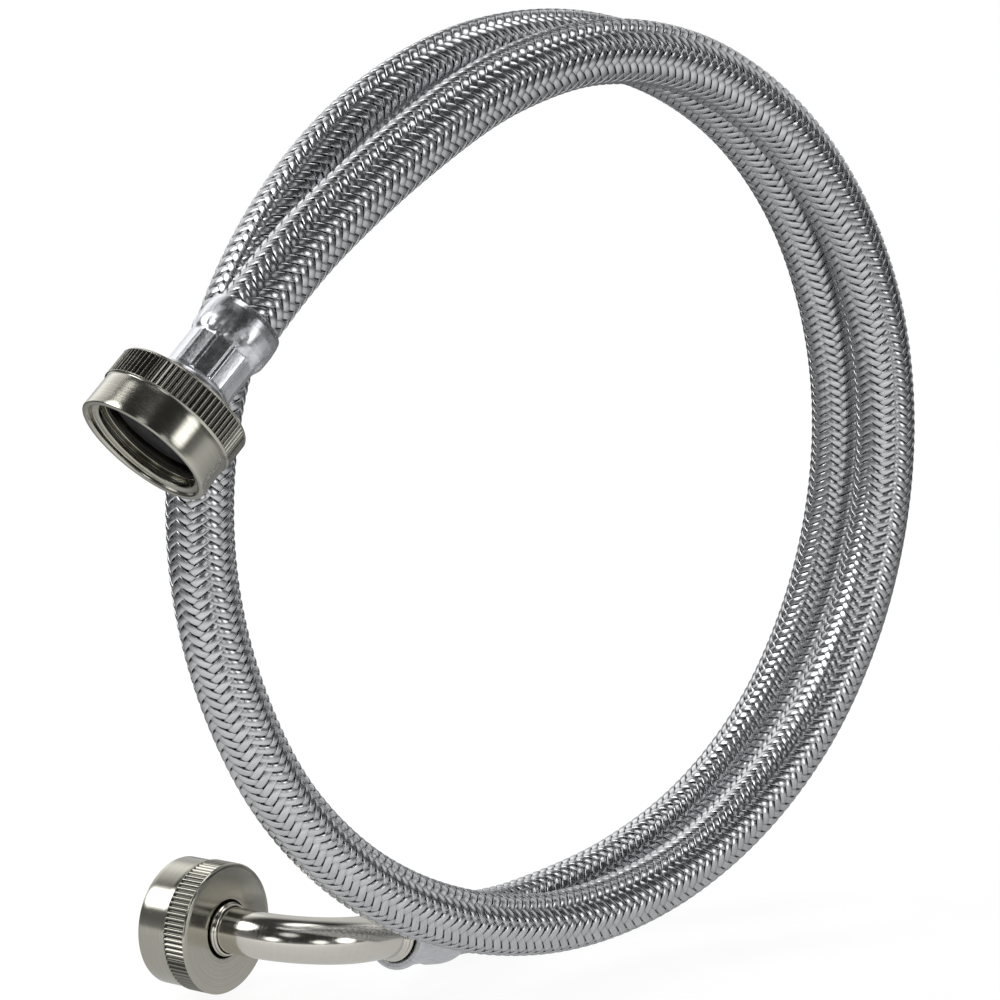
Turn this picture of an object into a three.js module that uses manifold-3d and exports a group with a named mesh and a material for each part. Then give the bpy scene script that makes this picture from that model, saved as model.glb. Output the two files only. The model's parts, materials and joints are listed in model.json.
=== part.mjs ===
// Braided stainless supply line, 4 ft (1219 mm) overall, with a swivel hose nut at each end.
// One end is straight, the other carries a 90 degree bent metal elbow. The hose is coiled
// upright in about one and three quarter turns.
//
// Millimetres, +Z up. The coil's axis runs along Y, with the straight end on the -Y side and
// the elbow end on the +Y side. The origin is on the floor, under the middle of the part's
// bounding box.

import * as THREE from 'three';
import { mergeVertices } from 'three/addons/utils/BufferGeometryUtils.js';
import Module from 'manifold-3d';

const wasm = await Module();
wasm.setup();

// ---------------------------------------------------------------- driving dimensions (mm)

// Hose
const HOSE_R = 7.5;             // outside of the braid
const BRAID_WALL = 0.7;
const TUBE_R = 6.2;             // outside of the inner tube
const TUBE_BORE_R = 4.75;       // bore of the inner tube, 3/8 in
const CRIMP_BRAID_R = 6.9;      // braid squeezed under the crimp
const CRIMP_BRAID_BORE_R = 6.25;
const CRIMP_TUBE_R = 5.9;       // tube squeezed under the crimp
const BRAID_START = 1.6;        // from the ferrule's rim to the end of the braid
const TUBE_START = 2.8;         // and to the end of the tube
const END_OVERLAP = 0.8;        // squeezed end runs this far past the ferrule
const BRAID_SIDES = 12;
const TUBE_SIDES = 8;
const TUBE_END_SIDES = 12;
const FLEX_BALL_R = 8.2;        // a section's start stays within this distance of its pivot
const FLEX_SOCKET_R = 8.5;      // and the section before it ends outside this one

// Nut; distances are from its mouth
const NUT_R = 15.1;             // smooth barrel
const NUT_LENGTH = 14.5;
const NUT_MOUTH_BEVEL = 0.4;
const NUT_BACK_BEVEL = 0.6;
const NUT_HOLE_R = 7.0;         // hole in the back wall
const NUT_BACK_WALL = 2.5;
const NUT_SEGMENTS = 28;
const KNURL_R = 15.5;           // crests of the knurled band
const KNURL_ROOT_R = 15.0;
const KNURL_BORE_R = 14.2;      // inside of the band, buried in the barrel
const KNURL_TEETH = 36;
const KNURL_START = 8.4;
const KNURL_END = 13.4;
const THREAD_MAJOR_R = 13.6;    // 3/4 in garden-hose thread, female
const THREAD_MINOR_R = 12.35;
const THREAD_PITCH = 2.209;     // 11.5 threads per inch
const RIDGE_COUNT = 3;          // the thread is drawn as separate rings
const RIDGE_START = 1.1;        // crest of the first ring
const RIDGE_SPACING = THREAD_PITCH * 0.85;
const RIDGE_HALF_WIDTH = 0.8;

// Sealing parts; distances are from the nut's mouth
const SEAT = 8.9;               // face of the sealing flange
const FLANGE_R = 11.9;
const FLANGE_T = 1.6;
const FLANGE_BEVEL = 0.2;
const WASHER_R = 12.1;
const WASHER_BORE_R = 5.5;
const WASHER_FACE = 5.9;        // the washer's open face
const WASHER_T = 2.7;
const WASHER_BEVEL = 0.3;
const NECK_R = 6.3;             // neck through the nut's hole
const NIPPLE_NECK_R = NECK_R + 0.05;
const NIPPLE_END = 16;
const WATERWAY_R = 3.6;

// Ferrule; distances are from its rim
const FERRULE_START = 15.9;     // from the nut's mouth to the rim, straight end
const FERRULE_LENGTH = 20.2;
const FERRULE_R = 8.6;          // round collar
const FERRULE_SEGMENTS = 20;
const RIM_R = 8.5;
const RIM_BORE_R = NECK_R + 0.35;
const RIM_WALL = 1.0;
const CRIMP_R = 7.9;            // crimped, twelve-sided part
const CRIMP_SIDES = 12;
const CRIMP_BORE_R = 7.2;
const CRIMP_START = 1.6;
const CRIMP_END = 12.2;
const COLLAR_START = 11.6;
const COLLAR_BORE_R = 7.9;

// Barbed insert inside the ferrule
const BARB_R = 4.45;
const BARB_ROOT_R = BARB_R - 0.55;
const BARB_RISE = 0.6;          // length of the steep side
const BARB_COUNT = 3;
const INSERT_END = FERRULE_LENGTH - 1.5;
const INSERT_NOSE = 0.8;        // tapered nose after the last barb

// Elbow
const ELBOW_R = 5.45;           // outside of the bent tube
const ELBOW_SIDES = 12;
const ELBOW_BEND_R = 19;
const ELBOW_BEND_STEPS = 8;
const ELBOW_CORNER = 40.5;      // from the nut's mouth to the corner of the two straight runs
const ELBOW_REACH = 31;         // from the corner to the ferrule's rim
const ELBOW_TUBE_START = SEAT + 0.2;
const ELBOW_IN_FERRULE = 2.2;   // full-size tube reaches this far past the rim
const ELBOW_TAIL_R = ELBOW_R - 0.2;
const ELBOW_TAIL_START = 1.6;
const NIPPLE_BORE_R = ELBOW_R + 0.3;
const BEAD_R = 6.4;
const BEAD_SHOULDER_R = ELBOW_R + 0.2;
const BEAD_BORE_R = ELBOW_R - 0.6;

// Straight end: centre of the nut's mouth, and the way from there towards the hose.
const STRAIGHT_MOUTH = new THREE.Vector3(-108.77, -27.23, 140.33);
const STRAIGHT_AXIS = new THREE.Vector3(0.7214, 0.0749, 0.6884).normalize();

// Elbow end: centre of the nut's mouth, the way from there towards the bend, and the way
// from the bend towards the hose. The two directions are made square to each other.
const ELBOW_MOUTH = new THREE.Vector3(-68.49, 36.95, 17.28);
const ELBOW_AXIS = new THREE.Vector3(0.3569, -0.9339, 0.022).normalize();
const ELBOW_HOSE_AXIS = new THREE.Vector3(0.9208, 0.3478, -0.1766);
ELBOW_HOSE_AXIS.addScaledVector(ELBOW_AXIS, -ELBOW_HOSE_AXIS.dot(ELBOW_AXIS)).normalize();

// Middle line of the hose between the two ferrules, as [x, y, z]. Every second point,
// starting with the second, is a flex pivot.
const HOSE_LINE = [
  [-72.97, -23.63, 174.99], [-63.20, -22.84, 183.53], [-39.76, -21.29, 200.21],
  [-14.52, -20.08, 214.03], [13.30, -19.09, 221.01], [41.79, -18.18, 217.92],
  [67.36, -17.29, 204.94], [87.69, -16.36, 184.66], [101.64, -15.35, 159.55],
  [108.11, -14.26, 131.57], [107.45, -13.11, 102.84], [99.91, -11.99, 75.11],
  [85.52, -10.96, 50.26], [64.48, -10.06, 30.72], [38.61, -9.28, 18.28],
  [10.18, -8.58, 14.35], [-18.02, -7.92, 19.71], [-43.37, -7.26, 33.19],
  [-63.35, -6.55, 53.80], [-76.37, -5.74, 79.41], [-82.98, -4.80, 107.39],
  [-82.18, -3.76, 136.10], [-73.80, -2.71, 163.58], [-58.50, -1.78, 187.90],
  [-37.40, -0.98, 207.40], [-11.59, -0.30, 219.95], [16.86, 0.31, 223.79],
  [45.11, 0.97, 218.68], [70.43, 1.73, 205.16], [90.28, 2.56, 184.43],
  [103.60, 3.75, 158.97], [110.61, 5.43, 131.13], [110.76, 7.55, 102.43],
  [104.62, 10.20, 74.46], [91.68, 12.79, 48.92], [71.73, 15.20, 28.42],
  [46.35, 17.36, 15.11], [18.68, 20.47, 8.01], [5.72, 19.99, 7.65],
].map((point) => new THREE.Vector3(...point));

// Points of the hose's middle line inside each ferrule, as distances from its rim.
const FERRULE_LINE = [2.1, 12.1, FERRULE_LENGTH];

// ---------------------------------------------------------------- finishes

const finish = (settings) => () => new THREE.MeshStandardMaterial(settings);
const satinNickel = finish({ color: 0xb3afa6, roughness: 0.3, metalness: 1.0 });
const brightFerrule = finish({ color: 0xc9ccd1, roughness: 0.22, metalness: 1.0 });
const polishedNickel = finish({ color: 0xbdb6a9, roughness: 0.15, metalness: 1.0 });
const brass = finish({ color: 0xb9965a, roughness: 0.35, metalness: 1.0 });
const steelBraid = finish({ color: 0x9c9fa3, roughness: 0.38, metalness: 0.9 });
const hoseRubber = finish({ color: 0x2b2b2d, roughness: 0.6, metalness: 0.0 });
const blackRubber = finish({ color: 0x1f1f20, roughness: 0.75, metalness: 0.0 });

// ---------------------------------------------------------------- solids

function toManifold(geometry) {
  // Only positions are kept, so that vertices merge across seams and sharp edges.
  const bare = new THREE.BufferGeometry();
  bare.setAttribute('position', geometry.getAttribute('position'));
  if (geometry.index) bare.setIndex(geometry.index);
  const merged = mergeVertices(bare, 1e-4);
  const index = merged.index.array;
  const triangles = [];
  for (let i = 0; i < index.length; i += 3) {
    const [a, b, c] = [index[i], index[i + 1], index[i + 2]];
    if (a !== b && b !== c && c !== a) triangles.push([a, b, c]);
  }
  const build = (faces) => new wasm.Manifold(new wasm.Mesh({
    numProp: 3,
    vertProperties: new Float32Array(merged.getAttribute('position').array),
    triVerts: new Uint32Array(faces.flat()),
  }));
  const solid = build(triangles);
  // A profile or sweep drawn the other way round comes out inside out.
  return solid.volume() < 0 ? build(triangles.map(([a, b, c]) => [a, c, b])) : solid;
}

function toGeometry(solid) {
  const mesh = solid.getMesh();
  const geometry = new THREE.BufferGeometry();
  const positions = new Float32Array(mesh.vertProperties);
  geometry.setAttribute('position', new THREE.BufferAttribute(positions, 3));
  geometry.setIndex(new THREE.BufferAttribute(new Uint32Array(mesh.triVerts), 1));
  geometry.computeVertexNormals();
  return geometry;
}

// A turned ring. profile lists [radius, distance along the axis] and closes on itself; the
// axis is +Y.
function turned(profile, segments) {
  const points = [...profile, profile[0]].map(([r, y]) => new THREE.Vector2(r, y));
  return toManifold(new THREE.LatheGeometry(points, segments));
}

// A straight bar of the given outline along +Y.
function bar(shape, start, end) {
  const geometry = new THREE.ExtrudeGeometry(shape, {
    depth: end - start, bevelEnabled: false, steps: 1,
  });
  geometry.rotateX(-Math.PI / 2);
  geometry.translate(0, start, 0);
  return toManifold(geometry);
}

function sweep(shape, path, steps) {
  return toManifold(new THREE.ExtrudeGeometry(shape, {
    steps, bevelEnabled: false, extrudePath: path,
  }));
}

const polar = (radius, angle) =>
  new THREE.Vector2(radius * Math.cos(angle), radius * Math.sin(angle));

const polygon = (radius, sides, turn = 0) =>
  Array.from({ length: sides }, (_, i) => polar(radius, turn + (2 * Math.PI * i) / sides));

function ringShape(outline, hole) {
  const shape = new THREE.Shape(outline);
  shape.holes.push(new THREE.Path(hole.reverse()));
  return shape;
}

// ---------------------------------------------------------------- placing

const along = (origin, direction, distance) =>
  origin.clone().addScaledVector(direction, distance);

// Turns +Y to the given direction.
const facing = (direction) =>
  new THREE.Quaternion().setFromUnitVectors(new THREE.Vector3(0, 1, 0), direction);

function placeObject(object, origin, direction) {
  object.position.copy(origin);
  object.quaternion.copy(facing(direction));
  return object;
}

function placeSolid(solid, origin, direction) {
  const unscaled = new THREE.Vector3(1, 1, 1);
  const matrix = new THREE.Matrix4().compose(origin, facing(direction), unscaled);
  return solid.transform(matrix.elements);
}

const straightRim = along(STRAIGHT_MOUTH, STRAIGHT_AXIS, FERRULE_START);
const elbowCorner = along(ELBOW_MOUTH, ELBOW_AXIS, ELBOW_CORNER);
const elbowRim = along(elbowCorner, ELBOW_HOSE_AXIS, ELBOW_REACH);

// ---------------------------------------------------------------- sweep paths

// Part of a curve, between two distances along it.
class Stretch extends THREE.Curve {
  constructor(curve, from, to) {
    super();
    Object.assign(this, { curve, from, to });
  }

  getPoint(t, target = new THREE.Vector3()) {
    const distance = this.from + (this.to - this.from) * t;
    return this.curve.getPointAt(distance / this.curve.getLength(), target);
  }
}

// A path swept with one step per leg, so it is sampled only at its corners. Each ring halves
// the angle between its two legs; the end rings are square to theirs.
class Corners extends THREE.Curve {
  constructor(points) {
    super();
    this.points = points;
    this.legs = points.length - 1;
  }

  getPointAt(u, target = new THREE.Vector3()) {
    return target.copy(this.points[Math.round(u * this.legs)]);
  }

  getTangentAt(u, target = new THREE.Vector3()) {
    const i = Math.round(u * this.legs);
    const here = this.points[i];
    const legIn = here.clone().sub(this.points[Math.max(0, i - 1)]).normalize();
    const legOut = this.points[Math.min(this.legs, i + 1)].clone().sub(here).normalize();
    return target.copy(legIn).add(legOut).normalize();
  }
}

// ---------------------------------------------------------------- nuts, washers, end fittings

// Barrel with a ridged bore and a knurled band. The axis is +Y, the mouth is at y = 0.
function nutSolid() {
  const wall = NUT_LENGTH - NUT_BACK_WALL;
  const profile = [
    [THREAD_MAJOR_R, 0], [NUT_R - NUT_MOUTH_BEVEL, 0], [NUT_R, NUT_MOUTH_BEVEL],
    [NUT_R, NUT_LENGTH - NUT_BACK_BEVEL], [NUT_R - NUT_BACK_BEVEL, NUT_LENGTH],
    [NUT_HOLE_R, NUT_LENGTH], [NUT_HOLE_R, wall], [THREAD_MAJOR_R, wall],
  ];
  for (let i = RIDGE_COUNT - 1; i >= 0; i -= 1) {
    const crest = RIDGE_START + i * RIDGE_SPACING;
    profile.push(
      [THREAD_MAJOR_R, crest + RIDGE_HALF_WIDTH],
      [THREAD_MINOR_R, crest],
      [THREAD_MAJOR_R, crest - RIDGE_HALF_WIDTH],
    );
  }
  const halfTooth = Math.PI / KNURL_TEETH;
  const teeth = [];
  for (let i = 0; i < KNURL_TEETH; i += 1) {
    const angle = 2 * halfTooth * i;
    teeth.push(polar(KNURL_R, angle), polar(KNURL_ROOT_R, angle + halfTooth));
  }
  const band = ringShape(teeth, polygon(KNURL_BORE_R, NUT_SEGMENTS));
  return turned(profile, NUT_SEGMENTS).add(bar(band, KNURL_START, KNURL_END));
}

function washerSolid() {
  const back = WASHER_FACE + WASHER_T;
  return turned([
    [WASHER_BORE_R, WASHER_FACE], [WASHER_R - WASHER_BEVEL, WASHER_FACE],
    [WASHER_R, WASHER_FACE + WASHER_BEVEL], [WASHER_R, back - WASHER_BEVEL],
    [WASHER_R - WASHER_BEVEL, back], [WASHER_BORE_R, back],
  ], 24);
}

// Profile of the sealing flange, from its bore outwards and over to its back edge.
const flangeProfile = (bore) => [
  [bore, SEAT], [FLANGE_R - FLANGE_BEVEL, SEAT], [FLANGE_R, SEAT + FLANGE_BEVEL],
  [FLANGE_R, SEAT + FLANGE_T],
];

// Profile of a barbed insert, from its first barb to the end of its waterway. The barbs'
// steep sides face the fitting. start is from the ferrule's rim, which is at y = rim.
function insertProfile(start, rim) {
  const first = rim + start;
  const end = rim + INSERT_END;
  const step = (end - INSERT_NOSE - first) / BARB_COUNT;
  const profile = [];
  for (let i = 0; i < BARB_COUNT; i += 1) {
    profile.push([BARB_R, first + i * step + BARB_RISE], [BARB_ROOT_R, first + (i + 1) * step]);
  }
  return [...profile, [WATERWAY_R + 0.2, end], [WATERWAY_R, end]];
}

// Flange, neck and barbed insert in one; y = 0 is at the nut's mouth.
function straightStemSolid() {
  const neckEnd = FERRULE_START + 0.6;
  return turned([
    ...flangeProfile(WATERWAY_R),
    [NECK_R, SEAT + FLANGE_T], [NECK_R, neckEnd], [BARB_R - 0.4, neckEnd],
    ...insertProfile(1.6, FERRULE_START),
  ], 20);
}

// The ferrule's axis is +Y, its rim on the fitting side is at y = 0.
function ferruleSolid() {
  const rim = turned([
    [RIM_BORE_R, 0], [RIM_R - 0.25, 0], [RIM_R, 0.25], [RIM_R, 1.8], [CRIMP_R - 0.3, 2.3],
    [CRIMP_BORE_R, 2.3], [CRIMP_BORE_R, RIM_WALL], [RIM_BORE_R, RIM_WALL],
  ], FERRULE_SEGMENTS);
  const halfSide = Math.PI / CRIMP_SIDES;
  const crimpShape = ringShape(
    polygon(CRIMP_R / Math.cos(halfSide) - 0.1, CRIMP_SIDES, halfSide),
    polygon(CRIMP_BORE_R, FERRULE_SEGMENTS),
  );
  const collar = turned([
    [CRIMP_BORE_R, COLLAR_START], [CRIMP_R - 0.2, COLLAR_START], [FERRULE_R - 0.25, 13.0],
    [FERRULE_R, 14.2], [FERRULE_R, FERRULE_LENGTH - 0.6], [FERRULE_R - 0.4, FERRULE_LENGTH],
    [COLLAR_BORE_R, FERRULE_LENGTH], [COLLAR_BORE_R, 14.0], [CRIMP_BORE_R, 12.6],
  ], FERRULE_SEGMENTS);
  return rim.add(bar(crimpShape, CRIMP_START, CRIMP_END)).add(collar);
}

// Turned nipple around the elbow's end: sealing flange and the neck in the nut's hole.
function nippleSolid() {
  return turned([
    ...flangeProfile(NIPPLE_BORE_R),
    [NIPPLE_NECK_R, SEAT + FLANGE_T], [NIPPLE_NECK_R, NIPPLE_END - 0.4],
    [NIPPLE_NECK_R - 0.3, NIPPLE_END], [NIPPLE_BORE_R, NIPPLE_END],
  ], 24);
}

// Corners of the elbow's middle line: nut end, bend, ferrule end.
function elbowLine() {
  const bendStart = along(elbowCorner, ELBOW_AXIS, -ELBOW_BEND_R);
  const bendCentre = along(bendStart, ELBOW_HOSE_AXIS, ELBOW_BEND_R);
  const points = [along(ELBOW_MOUTH, ELBOW_AXIS, ELBOW_TUBE_START)];
  for (let i = 0; i <= ELBOW_BEND_STEPS; i += 1) {
    const angle = (Math.PI / 2) * (i / ELBOW_BEND_STEPS);
    points.push(bendCentre.clone()
      .addScaledVector(ELBOW_HOSE_AXIS, -ELBOW_BEND_R * Math.cos(angle))
      .addScaledVector(ELBOW_AXIS, ELBOW_BEND_R * Math.sin(angle)));
  }
  points.push(along(elbowRim, ELBOW_HOSE_AXIS, ELBOW_IN_FERRULE));
  return points;
}

// Bent tube with a rolled bead and a barbed tail. Built in place.
function elbowTubeSolid() {
  const path = new Corners(elbowLine());
  const shape = ringShape(polygon(ELBOW_R, ELBOW_SIDES), polygon(WATERWAY_R, ELBOW_SIDES));
  const tube = sweep(shape, path, path.legs);
  const tail = turned([
    [WATERWAY_R, ELBOW_TAIL_START], [ELBOW_TAIL_R, ELBOW_TAIL_START],
    [ELBOW_TAIL_R, ELBOW_IN_FERRULE], ...insertProfile(ELBOW_IN_FERRULE, 0),
  ], ELBOW_SIDES);
  const bead = turned([
    [BEAD_BORE_R, -2.6], [BEAD_SHOULDER_R, -2.6], [BEAD_R, -2.1], [BEAD_R, -0.8],
    [BEAD_SHOULDER_R, -0.3], [BEAD_BORE_R, -0.3],
  ], 18);
  return tube.add(placeSolid(tail.add(bead), elbowRim, ELBOW_HOSE_AXIS));
}

// ---------------------------------------------------------------- the hose

const ferruleLine = (rim, axis) => FERRULE_LINE.map((distance) => along(rim, axis, distance));

const hoseCurve = new THREE.CatmullRomCurve3([
  ...ferruleLine(straightRim, STRAIGHT_AXIS),
  ...HOSE_LINE,
  ...ferruleLine(elbowRim, ELBOW_HOSE_AXIS).reverse(),
], false, 'centripetal');
hoseCurve.arcLengthDivisions = 3000;

// Distance along the hose curve of one of its control points, short of the last.
function distanceOf(controlPoint) {
  const lengths = hoseCurve.getLengths();
  const sample = (controlPoint / (hoseCurve.points.length - 1)) * (lengths.length - 1);
  const k = Math.floor(sample);
  return lengths[k] + (sample - k) * (lengths[k + 1] - lengths[k]);
}

const firstHosePoint = FERRULE_LINE.length;
const hoseStart = distanceOf(firstHosePoint - 1);
const hoseEnd = distanceOf(firstHosePoint + HOSE_LINE.length);
const pivots = [];
for (let i = 1; i < HOSE_LINE.length; i += 2) pivots.push(distanceOf(firstHosePoint + i));

// The two layers of the hose. crimp describes the end squeezed in a ferrule.
const braidJacket = {
  name: 'braid_jacket',
  material: steelBraid,
  outer: HOSE_R,
  inner: HOSE_R - BRAID_WALL,
  sides: BRAID_SIDES,
  crimp: {
    outer: CRIMP_BRAID_R, inner: CRIMP_BRAID_BORE_R, sides: BRAID_SIDES, start: BRAID_START,
  },
};
const innerTube = {
  name: 'inner_tube',
  material: hoseRubber,
  outer: TUBE_R,
  inner: TUBE_BORE_R,
  sides: TUBE_SIDES,
  crimp: { outer: CRIMP_TUBE_R, inner: TUBE_BORE_R, sides: TUBE_END_SIDES, start: TUBE_START },
};

// End of a layer inside a ferrule, squeezed under the crimp. The rim is at y = 0.
function crimpedEnd({ outer, inner, crimp }) {
  const end = FERRULE_LENGTH + END_OVERLAP;
  return turned([
    [crimp.inner, crimp.start], [crimp.outer, crimp.start], [crimp.outer, 12.4],
    [outer, 14.4], [outer, end], [inner, end], [inner, 14.6], [crimp.inner, 12.6],
  ], crimp.sides);
}

// One flex section of a layer. Section 0 starts in the straight ferrule, the last one ends in
// the elbow's ferrule, and each other one runs from pivot to pivot. Both cuts at a pivot lie
// just behind it: the start of the section after it stays inside a ball about the pivot, and
// the section before it stays outside, so they can turn about it freely.
function hoseSection(layer, i) {
  const { outer, inner, sides } = layer;
  const first = i === 0;
  const last = i === pivots.length;
  const innerFlat = inner * Math.cos(Math.PI / sides);
  const startBack = Math.sqrt(FLEX_BALL_R ** 2 - outer ** 2);
  const endBack = Math.sqrt(FLEX_SOCKET_R ** 2 - innerFlat ** 2);
  const from = first ? hoseStart : pivots[i - 1] - startBack;
  const to = last ? hoseEnd : pivots[i] - endBack;
  const shape = ringShape(polygon(outer, sides), polygon(inner, sides));
  const solid = sweep(shape, new Stretch(hoseCurve, from, to), first || last ? 3 : 4);
  if (first) return solid.add(placeSolid(crimpedEnd(layer), straightRim, STRAIGHT_AXIS));
  if (last) return solid.add(placeSolid(crimpedEnd(layer), elbowRim, ELBOW_HOSE_AXIS));
  return solid;
}

// ---------------------------------------------------------------- assembly

const supplyLine = new THREE.Group();

function piece(name, solid, material, parent = supplyLine) {
  const mesh = new THREE.Mesh(toGeometry(solid), material());
  mesh.name = name;
  parent.add(mesh);
  return mesh;
}

// Group with its origin at a nut's mouth and +Y into the nut, holding the nut and washer.
function nutEnd(name, mouth, axis) {
  const group = placeObject(new THREE.Group(), mouth, axis);
  supplyLine.add(group);
  piece(`${name}_nut`, nutSolid(), satinNickel, group);
  piece(`${name}_washer`, washerSolid(), blackRubber, group);
  return group;
}

const straightEnd = nutEnd('straight', STRAIGHT_MOUTH, STRAIGHT_AXIS);
piece('straight_stem', straightStemSolid(), brass, straightEnd);
const straightFerrule = piece('straight_ferrule', ferruleSolid(), brightFerrule, straightEnd);
straightFerrule.position.y = FERRULE_START;

const elbowEnd = nutEnd('elbow', ELBOW_MOUTH, ELBOW_AXIS);
piece('elbow_nipple', nippleSolid(), polishedNickel, elbowEnd);
piece('elbow_tube', elbowTubeSolid(), polishedNickel);
const elbowFerrule = piece('elbow_ferrule', ferruleSolid(), brightFerrule);
placeObject(elbowFerrule, elbowRim, ELBOW_HOSE_AXIS);

for (let i = 0; i <= pivots.length; i += 1) {
  for (const layer of [braidJacket, innerTube]) {
    piece(`${layer.name}_${i + 1}`, hoseSection(layer, i), layer.material);
  }
}

export default supplyLine;
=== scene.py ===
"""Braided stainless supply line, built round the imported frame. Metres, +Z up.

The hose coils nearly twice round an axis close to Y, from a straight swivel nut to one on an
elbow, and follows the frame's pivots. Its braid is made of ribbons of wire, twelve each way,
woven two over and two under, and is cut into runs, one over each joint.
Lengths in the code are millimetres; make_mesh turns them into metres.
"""
import json
import math

import bpy
import numpy as np
from mathutils import Matrix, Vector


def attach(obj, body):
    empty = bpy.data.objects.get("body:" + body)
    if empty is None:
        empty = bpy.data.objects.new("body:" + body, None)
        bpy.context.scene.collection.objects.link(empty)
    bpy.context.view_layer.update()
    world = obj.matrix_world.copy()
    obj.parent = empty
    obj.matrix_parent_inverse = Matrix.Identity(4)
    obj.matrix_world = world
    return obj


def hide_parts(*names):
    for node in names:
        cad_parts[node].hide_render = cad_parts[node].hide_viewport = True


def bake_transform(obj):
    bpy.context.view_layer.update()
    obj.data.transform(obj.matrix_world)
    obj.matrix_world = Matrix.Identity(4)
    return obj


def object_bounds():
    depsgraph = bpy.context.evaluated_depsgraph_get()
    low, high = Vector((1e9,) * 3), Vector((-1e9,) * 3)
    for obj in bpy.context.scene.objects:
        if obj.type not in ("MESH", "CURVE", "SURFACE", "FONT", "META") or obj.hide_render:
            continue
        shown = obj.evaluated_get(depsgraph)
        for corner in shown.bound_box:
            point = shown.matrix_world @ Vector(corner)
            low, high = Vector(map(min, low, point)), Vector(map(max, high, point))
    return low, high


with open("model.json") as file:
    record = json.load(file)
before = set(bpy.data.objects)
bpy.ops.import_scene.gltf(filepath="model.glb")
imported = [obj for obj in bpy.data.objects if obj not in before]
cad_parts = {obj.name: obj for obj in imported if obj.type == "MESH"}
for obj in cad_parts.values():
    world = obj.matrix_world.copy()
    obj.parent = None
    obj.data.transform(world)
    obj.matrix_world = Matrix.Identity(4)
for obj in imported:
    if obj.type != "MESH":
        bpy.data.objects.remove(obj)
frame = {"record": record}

cad_lo, cad_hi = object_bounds()
MM = 0.001
TAU = 2 * math.pi
joints = {joint["name"]: joint for joint in frame["record"]["behaviour"]["joints"]}


def unit(vector):
    vector = np.asarray(vector, float)
    return vector / np.linalg.norm(vector)


def joint_place(name):
    return np.array(joints[name]["pos_m"]) * 1000


# ------------------------------------------------------------------ places and shared sizes
BENDS = 19
PIVOTS = [joint_place(f"bend_{k}") for k in range(1, BENDS + 1)]

# each axis points from the nut's mouth into the fitting
STRAIGHT_MOUTH = joint_place("straight_nut_swivel")
STRAIGHT_AXIS = unit(joints["straight_nut_swivel"]["axis"])
ELBOW_MOUTH = joint_place("elbow_nut_swivel")
ELBOW_AXIS = unit(joints["elbow_nut_swivel"]["axis"])
ENDS = (("straight", STRAIGHT_MOUTH, STRAIGHT_AXIS), ("elbow", ELBOW_MOUTH, ELBOW_AXIS))

TUBE_R, TUBE_BORE_R = 6.42, 4.75        # the tube under the braid
FERRULE_START, FERRULE_LENGTH = 15.9, 20.2
ELBOW_CORNER = 40.5                     # mouth to the corner of the two centre lines
ELBOW_REACH = 31.0                      # that corner to the ferrule's rim
ELBOW_BEND_R, ELBOW_R = 19.0, 5.45
WATERWAY_R = 3.6
SEAT, FLANGE_T, FLANGE_R = 8.9, 1.6, 11.9
INSERT_LENGTH = FERRULE_LENGTH - 1.5    # how far stem and elbow reach past the ferrule's rim

# from the hose into the elbow, made square to the elbow nut's axis
INFLOW = unit([-0.9208, -0.3478, 0.1766])
INFLOW = unit(INFLOW - ELBOW_AXIS * INFLOW.dot(ELBOW_AXIS))

STRAIGHT_RIM = STRAIGHT_MOUTH + STRAIGHT_AXIS * FERRULE_START
STRAIGHT_COLLAR_END = STRAIGHT_RIM + STRAIGHT_AXIS * FERRULE_LENGTH
CORNER = ELBOW_MOUTH + ELBOW_AXIS * ELBOW_CORNER
ELBOW_RIM = CORNER - INFLOW * ELBOW_REACH
ELBOW_COLLAR_END = ELBOW_RIM - INFLOW * FERRULE_LENGTH

# BETWEEN and the camera were measured with the first pivot here; OFFSET moves them to the frame
MEASURED_FIRST_PIVOT = np.array([-63.20, -22.84, 183.53])
OFFSET = PIVOTS[0] - MEASURED_FIRST_PIVOT

# hose centre line before, between and after the pivots: x, y, z
BETWEEN = OFFSET + np.array([
    [-72.97, -23.63, 174.99], [-39.76, -21.29, 200.21], [13.30, -19.09, 221.01],
    [67.36, -17.29, 204.94], [101.64, -15.35, 159.55], [107.45, -13.11, 102.84],
    [85.52, -10.96, 50.26], [38.61, -9.28, 18.28], [-18.02, -7.92, 19.71],
    [-63.35, -6.55, 53.80], [-82.98, -4.80, 107.39], [-73.80, -2.71, 163.58],
    [-37.40, -0.98, 207.40], [16.86, 0.31, 223.79], [70.43, 1.73, 205.16],
    [103.60, 3.75, 158.97], [110.76, 7.55, 102.43], [91.68, 12.79, 48.92],
    [46.35, 17.36, 15.11], [5.72, 19.99, 7.65]])


# ------------------------------------------------------------------ the hose's centre line
LEG_STEPS = 48


def catmull_rom(points):
    """Centripetal Catmull-Rom curve, LEG_STEPS points to each leg, and the last point."""
    padded = [2 * points[0] - points[1], *points, 2 * points[-1] - points[-2]]
    out = []
    for before, start, end, after in zip(padded, padded[1:], padded[2:], padded[3:]):
        gap_in, gap, gap_out = (
            max(float(((p - q) ** 2).sum()) ** 0.25, 1e-4)
            for p, q in ((before, start), (start, end), (end, after)))
        slope_in = ((start - before) / gap_in - (end - before) / (gap_in + gap)
                    + (end - start) / gap) * gap
        slope_out = ((end - start) / gap - (after - start) / (gap + gap_out)
                     + (after - end) / gap_out) * gap
        square = -3 * start + 3 * end - 2 * slope_in - slope_out
        cube = 2 * start - 2 * end + slope_in + slope_out
        for t in np.arange(LEG_STEPS) / LEG_STEPS:
            out.append(start + slope_in * t + square * t * t + cube * t ** 3)
    out.append(np.array(points[-1], float))
    return np.array(out)


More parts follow.
